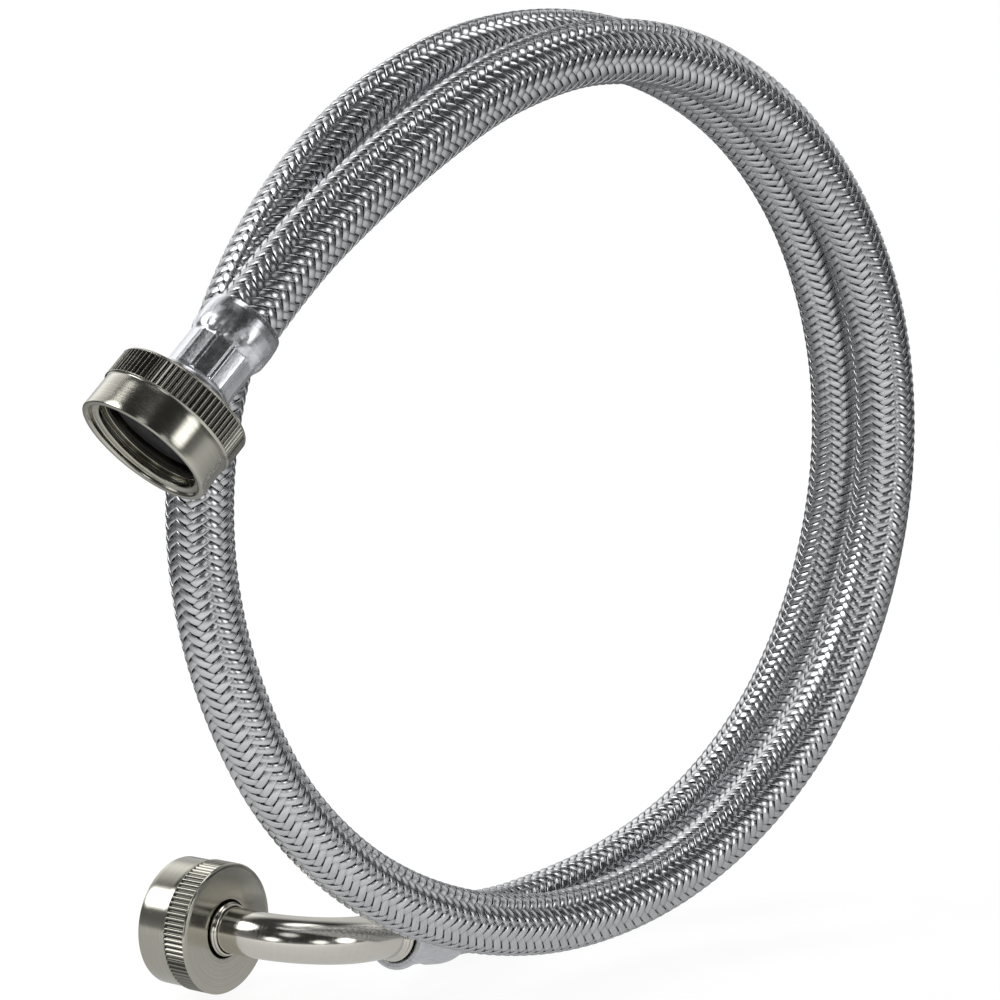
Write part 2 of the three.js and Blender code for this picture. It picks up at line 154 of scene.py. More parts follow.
control = [STRAIGHT_MOUTH + STRAIGHT_AXIS * 18, STRAIGHT_MOUTH + STRAIGHT_AXIS * 28]
collar_a_index = len(control)
control += [STRAIGHT_COLLAR_END, BETWEEN[0]]
first_pivot_index = len(control)
for pivot, after_pivot in zip(PIVOTS, BETWEEN[1:]):
    control += [pivot, after_pivot]
collar_b_index = len(control)
control += [ELBOW_COLLAR_END, ELBOW_COLLAR_END + INFLOW * 8.1, ELBOW_COLLAR_END + INFLOW * 18.1]

line = catmull_rom(control)
line_s = np.concatenate([[0], np.cumsum(np.linalg.norm(np.diff(line, axis=0), axis=1))])
control_s = line_s[::LEG_STEPS]
PIVOT_S = [control_s[first_pivot_index + 2 * k] for k in range(BENDS)]


def on_line(s):
    return np.stack([np.interp(s, line_s, line[:, k]) for k in range(3)], axis=-1)


def line_frames(s):
    """Centres and two side vectors, carried without twist, at rising distances s."""
    reach = 0.25
    centres = on_line(s)
    tangents = on_line(s + reach) - on_line(s - reach)
    tangents /= np.linalg.norm(tangents, axis=1, keepdims=True)
    sides = np.zeros_like(centres)
    sides[0] = unit(np.cross(tangents[0], [0, 1, 0]))
    for i in range(1, len(s)):
        # reflect the last frame across the move, then turn it onto the new tangent
        move = centres[i] - centres[i - 1]
        double = 2 / move.dot(move)
        side = sides[i - 1] - double * move.dot(sides[i - 1]) * move
        tangent = tangents[i - 1] - double * move.dot(tangents[i - 1]) * move
        change = tangents[i] - tangent
        size = change.dot(change)
        if size > 1e-18:
            side = side - (2 / size) * change.dot(side) * change
        sides[i] = unit(side)
    return centres, sides, np.cross(tangents, sides)


# ------------------------------------------------------------------ mesh helpers
UV_RADIUS = 15.0       # u on turned and bent bodies is the way round a circle of this radius


def make_mesh(name, co, mat, quads, uv=None, tris=(), attributes=None):
    """co in mm; uv has a row for each vertex or for each face corner."""
    mesh = bpy.data.meshes.new(name)
    quads = np.asarray(quads, np.int32).reshape(-1, 4)
    tris = np.asarray(tris, np.int32).reshape(-1, 3)
    mesh.vertices.add(len(co))
    mesh.vertices.foreach_set("co", (np.asarray(co) * MM).astype(np.float32).ravel())
    loops = np.concatenate([quads.ravel(), tris.ravel()])
    mesh.loops.add(len(loops))
    mesh.loops.foreach_set("vertex_index", loops)
    starts = np.concatenate([np.arange(len(quads)) * 4,
                             len(quads) * 4 + np.arange(len(tris)) * 3])
    mesh.polygons.add(len(starts))
    mesh.polygons.foreach_set("loop_start", starts.astype(np.int32))
    mesh.polygons.foreach_set("use_smooth", np.full(len(starts), True))
    mesh.update(calc_edges=True)
    if uv is not None:
        uv = np.asarray(uv, np.float32)
        per_corner = uv[loops] if len(uv) == len(co) else uv
        mesh.uv_layers.new(name="map").data.foreach_set("uv", per_corner.ravel())
    for key, values in (attributes or {}).items():
        attribute = mesh.attributes.new(key, "FLOAT", "POINT")
        attribute.data.foreach_set("value", np.asarray(values, np.float32).ravel())
    mesh.validate()
    ob = bpy.data.objects.new(name, mesh)
    bpy.context.scene.collection.objects.link(ob)
    mesh.materials.append(mat)
    return ob


def grid_quads(rows, around, closed=True):
    """Quads over rows of closed rings; closed also joins the last row to the first."""
    i, j = np.meshgrid(np.arange(rows if closed else rows - 1), np.arange(around), indexing="ij")
    next_i, next_j = (i + 1) % rows, (j + 1) % around
    corners = (i, j), (i, next_j), (next_i, next_j), (next_i, j)
    return np.stack([row * around + column for row, column in corners], -1).reshape(-1, 4)


def faces_in(co, quads):
    """Whether a closed body's faces look inwards, told by its signed volume."""
    corner = (co - co.mean(0))[quads]
    normal = (np.cross(corner[:, 1], corner[:, 2]) + np.cross(corner[:, 2], corner[:, 3]))
    return (corner[:, 0] * normal).sum() < 0


def path_lengths(x, y):
    return np.concatenate([[0], np.cumsum(np.hypot(np.diff(x), np.diff(y)))])


def place(ob, body, replaced):
    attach(ob, body)
    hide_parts(replaced)


def loft(name, rings, along, mat, attributes=None):
    """A closed body through (rows, around) points; along is v at each row and back at the first."""
    rows, around = rings.shape[:2]
    co = rings.reshape(-1, 3)
    quads = grid_quads(rows, around)
    i, j = np.meshgrid(np.arange(rows), np.arange(around), indexing="ij")
    u = TAU * UV_RADIUS * np.arange(around + 1) / around
    uv = np.stack([np.stack([u[j + right], along[i + up]], -1)
                   for up, right in ((0, 0), (0, 1), (1, 1), (1, 0))], 2).reshape(-1, 4, 2)
    if faces_in(co, quads):
        quads, uv = quads[:, ::-1], uv[:, ::-1]
    return make_mesh(name, co, mat, quads, uv.reshape(-1, 2), attributes=attributes)


def spin(profile, around):
    """Radius and height arrays, (profile, around), from (radius, height) points."""
    profile = np.array(profile)
    return np.repeat(profile[:, :1], around, 1), np.repeat(profile[:, 1:], around, 1)


def turned(name, r, y, origin, axis, mat, turn=0.0, attributes=None):
    """A closed turned body; r and y are (profile, around), y running along the axis."""
    phi = turn + TAU * np.arange(r.shape[1]) / r.shape[1]
    axis = unit(axis)
    side_a = unit(np.cross(axis, [0, 0, 1] if abs(axis[2]) < 0.9 else [1, 0, 0]))
    side_b = np.cross(axis, side_a)
    rings = (origin + y[..., None] * axis + (r * np.cos(phi))[..., None] * side_a
             + (r * np.sin(phi))[..., None] * side_b)
    mean_r, mean_y = (np.append(rows.mean(1), rows[0].mean()) for rows in (r, y))
    return loft(name, rings, path_lengths(mean_r, mean_y), mat, attributes)


def smooth01(x):
    x = np.clip(x, 0, 1)
    return x * x * (3 - 2 * x)


def resample(profile, step):
    """Splits a closed profile's legs to at most step, a length or a function of the leg's ends."""
    out = []
    for a, b in zip(profile, profile[1:] + profile[:1]):
        longest = step(a, b) if callable(step) else step
        parts = max(1, int(math.ceil(math.hypot(b[0] - a[0], b[1] - a[1]) / longest)))
        out += [(a[0] + (b[0] - a[0]) * t / parts, a[1] + (b[1] - a[1]) * t / parts)
                for t in range(parts)]
    return out


def fillet(corners):
    """Rounds a closed profile of (radius, height) or (radius, height, rounding) corners."""
    steps = 5
    points = [np.array(corner[:2], float) for corner in corners]
    out = []
    for i, corner in enumerate(corners):
        if len(corner) == 2:
            out.append(corner)
            continue
        point = points[i]
        back, ahead = points[i - 1] - point, points[(i + 1) % len(points)] - point
        back_length, ahead_length = np.linalg.norm(back), np.linalg.norm(ahead)
        back, ahead = back / back_length, ahead / ahead_length
        half = math.acos(np.clip(back.dot(ahead), -1, 1)) / 2
        cut = min(corner[2] / max(math.tan(half), 1e-6), back_length * 0.49, ahead_length * 0.49)
        start, end = point + back * cut, point + ahead * cut
        pull = point * 0.75 + (start + end) * 0.125
        for t in np.linspace(0, 1, steps + 1):
            out.append(tuple((1 - t) ** 2 * start + 2 * t * (1 - t) * pull + t * t * end))
    return out


# ------------------------------------------------------------------ shader helpers
MID = (0.3, 0.7)       # the part of a noise's range that most of its values lie in


class Shader:
    """Builds the node tree of a material or world."""

    def __init__(self, owner, output_kind):
        owner.use_nodes = True
        self.tree = owner.node_tree
        self.tree.nodes.clear()
        self.output = self.node(output_kind)

    def fill(self, target, inputs):
        """Links sockets, and sets other values, on the target's inputs."""
        for key, value in inputs.items():
            if isinstance(value, bpy.types.NodeSocket):
                self.tree.links.new(value, target.inputs[key])
            else:
                target.inputs[key].default_value = value

    def node(self, kind, inputs=None, **settings):
        made = self.tree.nodes.new("ShaderNode" + kind)
        for key, value in settings.items():
            setattr(made, key, value)
        self.fill(made, inputs or {})
        return made

    def attribute(self, name):
        return self.node("Attribute", attribute_name=name).outputs["Fac"]

    def mapped(self, u, v, offset=(0, 0, 0)):
        uv = self.node("UVMap", uv_map="map").outputs[0]
        return self.node("Mapping", {0: uv, "Scale": (u, v, 1), "Location": offset}).outputs[0]

    def noise(self, vector, scale=1.0, detail=2.0, roughness=0.5):
        return self.node("TexNoise", {"Vector": vector, "Scale": scale, "Detail": detail,
                                      "Roughness": roughness}).outputs[0]

    def remap(self, source, reads=(0.0, 1.0), gives=(0.0, 1.0), **settings):
        """Turns the range it reads into the range it gives, and clamps."""
        inputs = dict(enumerate((source, *reads, *gives)))
        return self.node("MapRange", inputs, **settings).outputs[0]

    def mix(self, factor, *colours):
        low, high = ((*c, 1) if isinstance(c, tuple) else c for c in colours)
        return self.node("Mix", {0: factor, 6: low, 7: high}, data_type="RGBA").outputs[2]

    def math(self, operation, first, second):
        return self.node("Math", {0: first, 1: second}, operation=operation).outputs[0]

    def dot(self, vector, direction):
        return self.node("VectorMath", {0: vector, 1: direction},
                         operation="DOT_PRODUCT").outputs["Value"]

    def bump(self, height, strength, distance, **normal):
        return self.node("Bump", {"Height": height, "Strength": strength,
                                  "Distance": distance, **normal}).outputs[0]


def new_material(name):
    mat = bpy.data.materials.new(name)
    shader = Shader(mat, "OutputMaterial")
    bsdf = shader.node("BsdfPrincipled")
    shader.fill(shader.output, {0: bsdf.outputs[0]})
    return mat, shader, bsdf


# ------------------------------------------------------------------ materials
def turned_metal(name, light, dark, roughness, anisotropy, line_scale, line_bump,
                 wear=0.06, paint_knurl_shade=False):
    """Lathe-turned metal: fine lines round the axis, a sheen stretched across them, worn spots."""
    mat, shader, bsdf = new_material(name)
    lines = shader.noise(shader.mapped(0.02, line_scale), detail=3.0, roughness=0.6)
    fine = shader.noise(shader.mapped(0.05, line_scale * 3.1, offset=(3, 7, 0)), roughness=0.6)
    spots = shader.noise(shader.mapped(0.25, 0.25), detail=4.0, roughness=0.55)
    tone = shader.mix(shader.remap(lines, reads=MID), dark, light)
    worn = tuple(c * 0.8 for c in light)
    tone = shader.mix(shader.remap(spots, reads=(0.45, 0.75), gives=(0.0, wear * 4)), tone, worn)
    # painted shade on the knurled band, darkest in its grooves
    if paint_knurl_shade:
        tone = shader.mix(shader.attribute("knurl_painted_shade"), tone, (0.05, 0.05, 0.045))
    rough = shader.math(
        "ADD", shader.remap(fine, reads=MID, gives=(roughness - 0.05, roughness + 0.06)),
        shader.remap(spots, reads=(0.4, 0.8), gives=(0.0, wear)))
    tangent = shader.node("Tangent", direction_type="UV_MAP", uv_map="map").outputs[0]
    shader.fill(bsdf, {
        "Base Color": tone, "Metallic": 1.0, "Roughness": rough,
        "Anisotropic": anisotropy, "Anisotropic Rotation": 0.25, "Tangent": tangent,
        "Normal": shader.bump(lines, strength=line_bump, distance=0.00003)})
    return mat


def braid_material():
    """Drawn wire, streaked along its length, a little different per ribbon, with painted shade
    where it lies deep.
    """
    mat, shader, bsdf = new_material("woven_stainless_wire")
    painted_shade_depth = shader.attribute("painted_shade_depth")
    ribbon_tone = shader.attribute("wire_tone")
    streak = shader.noise(shader.mapped(0.35, 9.0), detail=3.0, roughness=0.6)
    scratch = shader.noise(shader.mapped(1.2, 30.0, offset=(11, 5, 0)))
    tone = shader.mix(shader.remap(streak, reads=(0.35, 0.65)),
                      (0.54, 0.555, 0.57), (0.78, 0.79, 0.81))
    tone = shader.mix(shader.remap(ribbon_tone, gives=(0.0, 0.35)), tone, (0.50, 0.51, 0.53))
    # painted shade: the deeper the wire lies in the weave, the darker its colour
    tone = shader.mix(shader.remap(painted_shade_depth, reads=(0.0, 0.72), gives=(0.92, 0.0)),
                      tone, (0.05, 0.05, 0.053))
    rough = shader.math("ADD", shader.remap(streak, reads=MID, gives=(0.16, 0.27)),
                        shader.remap(ribbon_tone, gives=(0.0, 0.06)))
    shader.fill(bsdf, {"Base Color": tone, "Metallic": 1.0, "Roughness": rough,
                       "Normal": shader.bump(scratch, strength=0.25, distance=0.00002)})
    return mat


def rubber_material(name, colour, roughness):
    """Dull rubber: a fine grain and broad paler patches."""
    mat, shader, bsdf = new_material(name)
    grain = shader.noise(shader.mapped(1.0, 1.0), scale=2.5, detail=5.0, roughness=0.6)
    patches = shader.noise(shader.mapped(1.0, 1.0, offset=(4, 9, 0)), scale=0.4, detail=3.0)
    paler = tuple(c * 1.9 + 0.01 for c in colour)
    shader.fill(bsdf, {
        "Base Color": shader.mix(shader.remap(patches, reads=(0.35, 0.7)), colour, paler),
        "Roughness": shader.remap(grain, reads=MID, gives=(roughness - 0.08, roughness + 0.1)),
        "Normal": shader.bump(grain, strength=0.5, distance=0.00006)})
    return mat


def crimped_material():
    """Bright pressed sheet stainless: faint drawn lines along it, small dents, a soft grain."""
    mat, shader, bsdf = new_material("pressed_stainless")
    grain = shader.noise(shader.mapped(3.0, 0.25), detail=3.0, roughness=0.6)
    dents = shader.noise(shader.mapped(0.35, 0.5, offset=(2, 3, 0)), detail=3.0)
    tone = shader.mix(shader.remap(grain, reads=MID), (0.56, 0.58, 0.61), (0.78, 0.79, 0.82))
    rough = shader.math("ADD", shader.remap(grain, reads=MID, gives=(0.20, 0.28)),
                        shader.remap(dents, reads=(0.4, 0.7), gives=(0.0, 0.08)))
    dented = shader.bump(dents, strength=0.14, distance=0.00030)
    shader.fill(bsdf, {
        "Base Color": tone, "Metallic": 1.0, "Roughness": rough,
        "Normal": shader.bump(grain, strength=0.2, distance=0.00003, Normal=dented)})
    return mat


MAT_BRAID = braid_material()
MAT_NUT = turned_metal(
    "satin_nickel_plate", light=(0.58, 0.565, 0.50), dark=(0.42, 0.405, 0.35),
    roughness=0.17, anisotropy=0.6, line_scale=7.0, line_bump=0.30, paint_knurl_shade=True)
MAT_ELBOW = turned_metal(
    "polished_nickel_plate", light=(0.76, 0.735, 0.67), dark=(0.735, 0.71, 0.65),
    roughness=0.13, anisotropy=0.0, line_scale=1.2, line_bump=0.02, wear=0.05)
MAT_STEM = turned_metal(
    "machined_brass", light=(0.78, 0.60, 0.33), dark=(0.62, 0.46, 0.24),
    roughness=0.30, anisotropy=0.4, line_scale=5.0, line_bump=0.3)
MAT_FERRULE = crimped_material()
MAT_WASHER = rubber_material("black_rubber", colour=(0.012, 0.012, 0.013), roughness=0.62)
MAT_TUBE = rubber_material("dark_hose_core", colour=(0.014, 0.014, 0.016), roughness=0.55)


# ------------------------------------------------------------------ the braid and its tube
LAY = 28.2             # one turn of a ribbon
CARRIERS = 12          # ribbons each way
WIRES = 6              # wires side by side in a ribbon
MEAN_R = 7.03          # middle of the weave
LIFT = 0.29            # up and down from there
HALF_T = 0.13          # half the wire thickness
RIDGE = 0.06           # wire crests above the dips between them
CROWN = 0.12           # the ribbon's edges lie this much lower than its middle
COVER = 0.462          # half the ribbon's width, as a share of the pitch between ribbons
EASE = 0.55            # how squarely the weave steps over and under
STEPS_PER_CROSSING = 2
STEP = LAY / (2 * CARRIERS) / STEPS_PER_CROSSING
PITCH = TAU / CARRIERS
TUCK = 4.5             # how far the hose runs on inside each ferrule
TUBE_AROUND = 40
TUBE_ROW_STEP = 3      # braid samples to each row of the tube
UV_PER_WIRE, UV_PER_RIBBON = 0.30, 3.7

braid_from = control_s[collar_a_index] - TUCK
braid_to = control_s[collar_b_index] + TUCK
braid_count = int(round((braid_to - braid_from) / STEP))
braid_s = np.linspace(braid_from, braid_to, braid_count + 1)
centres, sides_a, sides_b = line_frames(braid_s)


def round_hose(r, theta, rows):
    """Points at radius r and angle theta about the centre line at the given samples."""
    return (centres[rows, None] + (r * np.cos(theta))[..., None] * sides_a[rows, None]
            + (r * np.sin(theta))[..., None] * sides_b[rows, None])


def ribbon(direction, index, first, last):
    """Points, uv, depth for the painted shade, and tone of one ribbon, each (samples, points
    across, ...).
    """
    seed = index + (0 if direction == 1 else CARRIERS)
    along = braid_s[first:last + 1] - braid_from
    # across the ribbon, in wires: an edge, then crest, dip, crest ... and the other edge
    across = np.arange(2 * WIRES + 1) / 2
    crest = np.arange(2 * WIRES + 1) % 2
    share = across / WIRES * 2 - 1
    winding = direction * TAU * along[:, None] / LAY
    theta = PITCH * index + winding + direction * share * COVER * PITCH
    crossing = (index + (theta + winding) / PITCH - 0.5) / 4
    wave = np.tanh(EASE * np.cos(TAU * crossing)) / math.tanh(EASE) * direction
    r = MEAN_R + LIFT * wave - CROWN * share ** 2 + HALF_T - RIDGE * (1 - crest)
    # the two edges go down to the ribbon's underside
    r[:, [0, -1]] -= 2 * HALF_T - RIDGE
    u = along[:, None] * math.hypot(1, TAU * MEAN_R / LAY)
    v = across * UV_PER_WIRE + seed * UV_PER_RIBBON
    # how deep each point lies in the weave, used to darken it with painted shade
    painted_shade_depth = np.clip((r - (MEAN_R - LIFT - HALF_T)) / (2 * LIFT + 2 * HALF_T), 0, 1)
    tone = np.full(r.shape, (seed * 0.6180339) % 1.0)
    uv = np.stack(np.broadcast_arrays(u, v), -1)
    return round_hose(r, theta, slice(first, last + 1)), uv, painted_shade_depth, tone


def build_braid(number, first, last):
    rows, around = last - first + 1, 2 * WIRES + 1
    # the end caps have rings of their own, so that the ends shade like the rest
    start_cap = rows * around
    end_cap = start_cap + around
    caps = np.array([[start_cap, start_cap + k + 1, start_cap + k] for k in range(1, around - 1)]
                    + [[end_cap, end_cap + k, end_cap + k + 1] for k in range(1, around - 1)])
    sheet = grid_quads(rows, around, closed=False)
    columns, quads, tris = ([], [], [], []), [], []
    base = 0
    for direction in (1, -1):
        for index in range(CARRIERS):
            parts = ribbon(direction, index, first, last)
            for part, column in zip(parts, columns):
                flat = part.reshape(rows * around, -1)
                column.append(np.concatenate([flat, flat[:around], flat[-around:]]))
            # ribbons are built across the way they wind, so one hand has to be turned over
            co = parts[0]
            normal = np.cross(co[0, 2] - co[0, 1], co[1, 1] - co[0, 1])
            order = -1 if normal.dot(co[0, 1] - centres[first]) < 0 else 1
            quads.append(sheet[:, ::order] + base)
            tris.append(caps[:, ::order] + base)
            base += (rows + 2) * around
    co, uv, painted_shade_depth, tone = (np.concatenate(column) for column in columns)
    return make_mesh(f"braid_run_{number}", co, MAT_BRAID, np.concatenate(quads), uv,
                     np.concatenate(tris), {"painted_shade_depth": painted_shade_depth, "wire_tone": tone})


def build_tube(number, first, last):
    """The tube under the braid, as a hollow run: out along its outside, back along its bore."""
    rows = np.unique(np.append(np.arange(first, last, TUBE_ROW_STEP), last))
    phi = TAU * np.arange(TUBE_AROUND) / TUBE_AROUND
    outside, bore = (round_hose(np.full((len(rows), 1), radius), phi, rows)
                     for radius in (TUBE_R, TUBE_BORE_R))
    co = np.concatenate([outside, bore[::-1]]).reshape(-1, 3)
    # the bore's u starts well away from the outside's
    u = np.concatenate([braid_s[rows], braid_s[rows][::-1] + 2000])
    uv = np.stack(np.broadcast_arrays(u[:, None], phi * TUBE_R), -1).reshape(-1, 2)
    quads = grid_quads(2 * len(rows), TUBE_AROUND)[:, [0, 3, 2, 1]]
    if faces_in(co, quads):
        quads = quads[:, ::-1]
    return make_mesh(f"inner_tube_run_{number}", co, MAT_TUBE, quads, uv)


def build_hose():
    """A run of braid and of tube over each pivot, cut halfway between pivots."""
    cuts = [0]
    for pivot_s, next_s in zip(PIVOT_S, PIVOT_S[1:]):
        share = ((pivot_s + next_s) / 2 - braid_from) / (braid_to - braid_from)
        cuts.append(int(round(share * braid_count)))
    cuts.append(braid_count)
    for k, pivot_s in enumerate(PIVOT_S):
        first, last = cuts[k:k + 2]
        is_last = k == BENDS - 1
        for build, stem, slot in ((build_braid, "braid_jacket", "braid"),
                                  (build_tube, "inner_tube", "inner_tube")):
            ob = build(k + 1, first, last)
            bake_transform(ob)
            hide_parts(f"{stem}_{k + 1}", *([f"{stem}_{BENDS + 1}"] if is_last else []))


build_hose()


# ------------------------------------------------------------------ the nuts
NUT_TEETH = 76
TOOTH = [0.0, 0.36, 0.80, 1.0, 0.80, 0.36]      # height round one knurl ridge, as a share
KNURL_DEPTH = 0.55
NUT_R = 15.5
THREAD_MAJOR, THREAD_MINOR, THREAD_PITCH = 13.6, 12.35, 2.209
THREAD_TOP = 6.2                                # the threaded wall ends just below this height
THREAD_STEP, NUT_STEP = 0.085, 1.3

# radius, height from the mouth, rounding
NUT_CORNERS = [
    (14.05, 0.0, 0.15), (15.1, 0.0, 0.32), (15.1, 7.75), (15.07, 7.85), (15.44, 8.12),
    (NUT_R, 8.2), (NUT_R, 8.255), (NUT_R, 8.28), (NUT_R, 8.31), (NUT_R, 13.95),
    (NUT_R, 13.98), (NUT_R, 14.005), (NUT_R, 14.06), (15.47, 14.14), (15.32, 14.4),
    (15.22, 14.5), (7.0, 14.5, 0.2), (7.0, 12.0, 0.15), (THREAD_MAJOR, 12.0, 0.5),
    (THREAD_MAJOR, 6.1), (THREAD_MAJOR, 0.45)]


def nut_step(a, b):
    on_thread = all(abs(point[0] - THREAD_MAJOR) < 1e-6 for point in (a, b)) and a[1] < THREAD_TOP
    return THREAD_STEP if on_thread else NUT_STEP


def build_nut(end, mouth, axis):
    profile = np.array(resample(fillet(NUT_CORNERS), nut_step))
    around = NUT_TEETH * len(TOOTH)
    r, y = spin(profile, around)
    profile_r, profile_y = profile.T
    # knurl: rounded straight ridges, cut down at both ends of the band
    cut = 1 - np.tile(TOOTH, NUT_TEETH)
    band = (profile_y > 8.27) & (profile_y < 13.99) & (profile_r > 15.45)
    r[band] -= KNURL_DEPTH * cut
    # painted shade on the knurled band: a little on the crests, most in the grooves
    knurl_painted_shade = np.zeros_like(r)
    knurl_painted_shade[band] = 0.42 + 0.53 * cut
    # thread: one ridge winding in from the mouth, eased in and out
    wall = (np.abs(profile_r - THREAD_MAJOR) < 1e-6) & (profile_y < THREAD_TOP)
    turn = np.arange(around) / around
    turns = (y[wall] - 0.95) / THREAD_PITCH - turn
    nearest = np.round(turns)
    along = nearest + turn
    ridge = smooth01((0.40 - np.abs(turns - nearest)) / 0.24)
    ridge *= smooth01((along + 0.02) / 0.14) * smooth01((2.02 - along) / 0.14)
    r[wall] -= (THREAD_MAJOR - THREAD_MINOR) * ridge
    ob = turned(f"{end}_nut_body", r, y, mouth, axis, MAT_NUT, attributes={"knurl_painted_shade": knurl_painted_shade})
    place(ob, f"{end}_nut", f"{end}_nut")


for end_data in ENDS:
    build_nut(*end_data)


# ------------------------------------------------------------------ washers, stem and nipple
TURNED_AROUND = 128
TURNED_STEP = 0.9
BARB_CREST_R, BARB_ROOT_R, BARB_LEAD, BARB_COUNT = 4.45, 3.9, 0.6, 3


def build_washer(end, mouth, axis):
    corners = [(5.5, 5.9, 0.35), (12.1, 5.9, 0.5), (12.1, 8.6, 0.5), (5.5, 8.6, 0.35)]
    profile = np.array(resample(fillet(corners), 0.6))
    r, y = spin(profile, TURNED_AROUND)
    # two faint rings on each face, sunk into it
    for ring_r in (7.6, 9.9):
        sink = 0.12 * np.exp(-((profile[:, 0] - ring_r) / 0.35) ** 2)
        y += np.where(profile[:, 1] < 7.2, sink, -sink)[:, None]
    ob = turned(f"{end}_washer_ring", r, y, mouth, axis, MAT_WASHER)
    place(ob, f"{end}_washer", f"{end}_washer")


def barbs(low, high):
    """(radius, height) of the barbs' crests and roots between two heights."""
    step = (high - low) / BARB_COUNT
    out = []
    for k in range(BARB_COUNT):
        out += [(BARB_CREST_R, low + k * step + BARB_LEAD), (BARB_ROOT_R, low + (k + 1) * step)]
    return out


def flange(bore_r, neck_r, bore_rounding):
    """Profile corners of the flange that stands on the seat."""
    return [(bore_r, SEAT, bore_rounding), (FLANGE_R, SEAT, 0.2),
            (FLANGE_R, SEAT + FLANGE_T, 0.2), (neck_r, SEAT + FLANGE_T, 0.3)]


def build_stem():
    end = FERRULE_START + FERRULE_LENGTH - 1.5
    corners = (flange(WATERWAY_R, neck_r=6.3, bore_rounding=0.25)
               + [(6.3, 16.5, 0.1), (4.05, 16.5)] + barbs(FERRULE_START + 1.6, end - 0.8)
               + [(3.8, end), (WATERWAY_R, end)])
    r, y = spin(resample(fillet(corners), TURNED_STEP), TURNED_AROUND)
    ob = turned("straight_stem_turned", r, y, STRAIGHT_MOUTH, STRAIGHT_AXIS, MAT_STEM)
    place(ob, "straight_end", "straight_stem")


def build_nipple():
    corners = flange(5.65, neck_r=6.4, bore_rounding=0.2) + [
        (6.4, 15.1, 0.12), (6.2, 15.35), (6.2, 15.55), (6.05, 15.95, 0.15),
        (5.75, 16.1), (5.65, 15.9)]
    r, y = spin(resample(fillet(corners), TURNED_STEP), TURNED_AROUND)
    ob = turned("elbow_nipple_turned", r, y, ELBOW_MOUTH, ELBOW_AXIS, MAT_ELBOW)
    place(ob, "elbow_end", "elbow_nipple")


for end_data in ENDS:
    build_washer(*end_data)
build_stem()


# ------------------------------------------------------------------ ferrules
CRIMP_R = 7.9
CRIMP_SIDES = 12
FERRULE_AROUND = 320

# radius, height from the rim, rounding
FERRULE_CORNERS = [
    (6.65, 0.0), (8.45, 0.0, 0.35), (8.5, 0.9, 0.5), (8.35, 1.75, 0.5),
    (CRIMP_R, 2.3, 0.4), (CRIMP_R, 11.3, 0.8), (8.25, 12.3, 0.6), (8.62, 13.4, 0.8),
    (8.7, 14.8, 1.2), (8.7, 17.2, 1.2), (8.55, 19.0, 0.6), (8.3, FERRULE_LENGTH, 0.16),
    (7.9, FERRULE_LENGTH, 0.16), (7.9, 14.0), (7.2, 12.6), (7.2, 1.0), (6.65, 1.0)]


def build_ferrule(end, rim, axis, turn_degrees, pinch_depths):
    """Sleeve with a rolled rim, a twelve-sided crimp with pinched corners, and a bulged collar."""
    profile = np.array(resample(fillet(FERRULE_CORNERS), 0.42))
    profile_r, height = profile.T
    r, y = spin(profile, FERRULE_AROUND)
    height = height[:, None]
    phi = TAU * np.arange(FERRULE_AROUND) / FERRULE_AROUND
    sector = TAU / CRIMP_SIDES
    local = (phi % sector) - sector / 2                     # 0 in the middle of a flat
    to_corner = sector / 2 - np.abs(local)                  # angle to the nearest corner
    flat = 1 / np.cos(local) - 1 / math.cos(sector / 2)     # below the corner circle
    nearest_corner = np.round(phi / sector).astype(int) % CRIMP_SIDES
    pinch = np.array(pinch_depths)[nearest_corner] * np.exp(-(to_corner / 0.034) ** 2)
    lip = 0.05 * np.exp(-((to_corner - 0.07) / 0.035) ** 2)
    hollow = -0.06 * np.cos(local / (sector / 2) * math.pi / 2) ** 2
    crimped = smooth01((height - 1.9) / 0.8) * smooth01((12.6 - height) / 1.2)
    pinched = smooth01((height - 2.2) / 0.7) * smooth01((11.7 - height) / 1.0)
    shape = (CRIMP_R * 0.8 * flat + hollow + lip) * crimped - pinch * pinched
    # the collar keeps a trace of the sides, fading towards the hose
    trace = smooth01((height - 11.2) / 1.2) * smooth01((17.5 - height) / 5.0)
    trace *= 1.0 - 0.55 * smooth01((height - 12.4) / 4)
    shape += trace * -0.30 * (0.5 + 0.5 * np.cos(CRIMP_SIDES * phi)) ** 1.5
    # all but the collar's straight bore and the narrower bore behind it is shaped
    collar_bore = (np.abs(profile_r - 7.9) < 0.02) & (profile[:, 1] > 13.9)
    shaped = (profile_r > 7.5) & ~collar_bore
    r[shaped] += shape[shaped]
    ob = turned(f"{end}_ferrule_sleeve", r, y, rim, axis, MAT_FERRULE,
                turn=math.radians(turn_degrees))
    place(ob, f"{end}_end", f"{end}_ferrule")


build_ferrule(
    "straight", STRAIGHT_RIM, STRAIGHT_AXIS, turn_degrees=9,
    pinch_depths=[0.10, 0.07, 0.14, 0.08, 0.22, 0.07, 0.10, 0.16, 0.06, 0.10, 0.20, 0.42])
build_ferrule(
    "elbow", ELBOW_RIM, -INFLOW, turn_degrees=15,
    pinch_depths=[0.20, 0.10, 0.32, 0.08, 0.14, 0.24, 0.08, 0.12, 0.30, 0.10, 0.18, 0.08])


